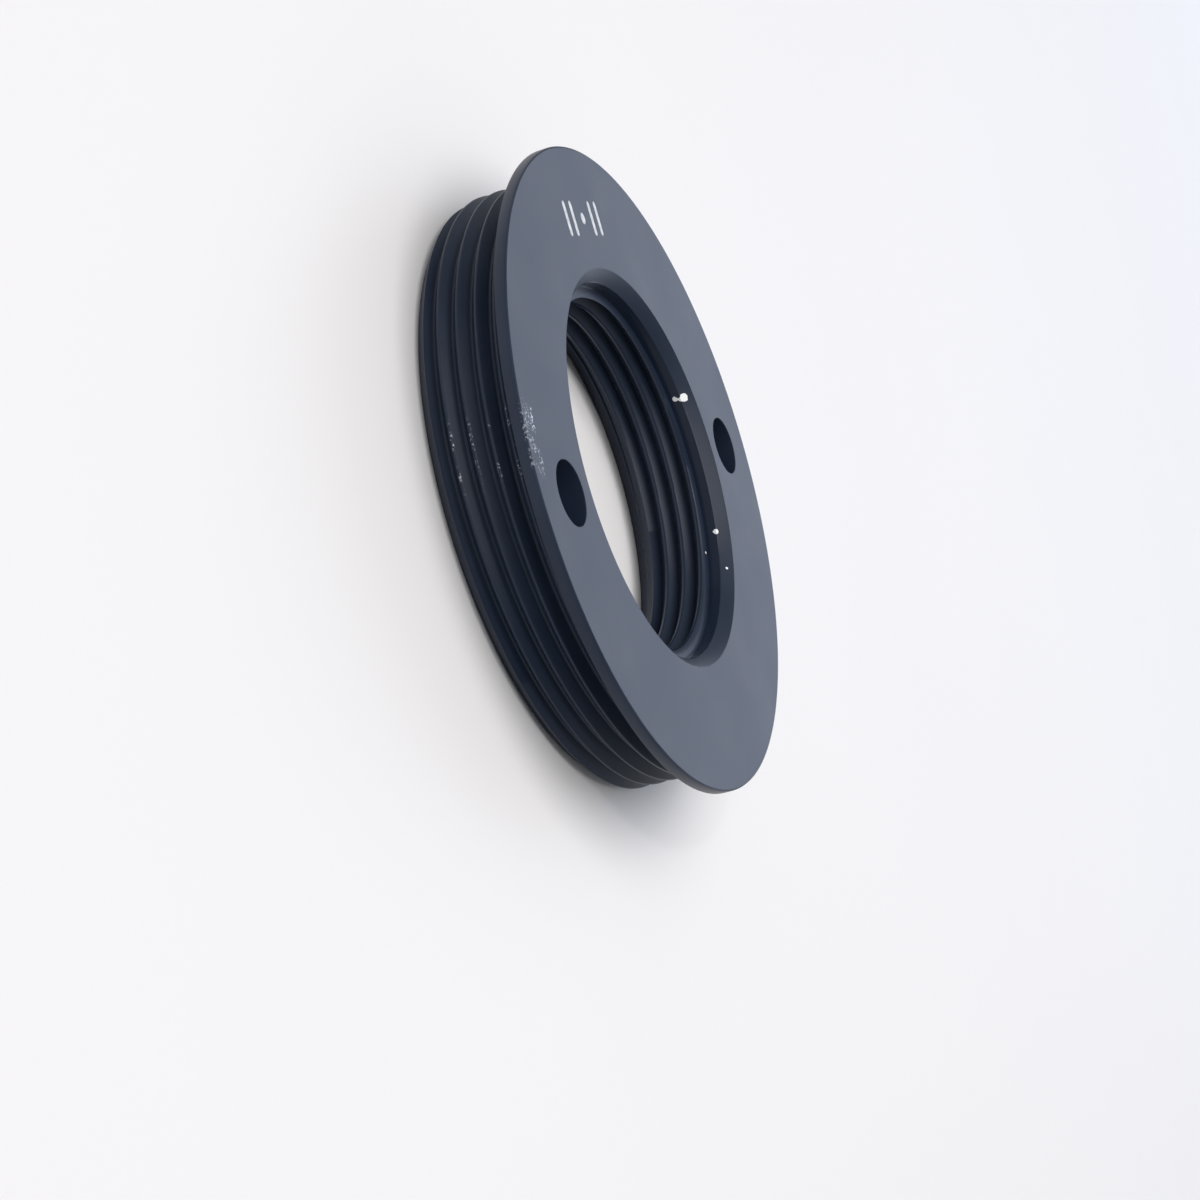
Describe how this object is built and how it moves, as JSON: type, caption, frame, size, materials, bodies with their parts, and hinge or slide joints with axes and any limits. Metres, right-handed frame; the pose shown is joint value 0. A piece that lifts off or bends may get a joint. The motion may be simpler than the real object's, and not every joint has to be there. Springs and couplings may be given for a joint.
{
  "type": "lens mount adapter ring",
  "caption": "Thin flanged ring with a camera thread outside, a smaller lens thread inside and blind spanner holes in the flange face.",
  "frame": {"origin": "centre of the threaded end that the ring rests on", "axes": "+Z along the ring's axis, out of the flange face; the spanner holes lie on the X axis"},
  "size_m": [0.0274, 0.0274, 0.0046],
  "materials": {
    "anodised": "black anodised, satin"
  },
  "bodies": {
    "root": {"adapter_ring": "anodised"}
  },
  "joints": []
}
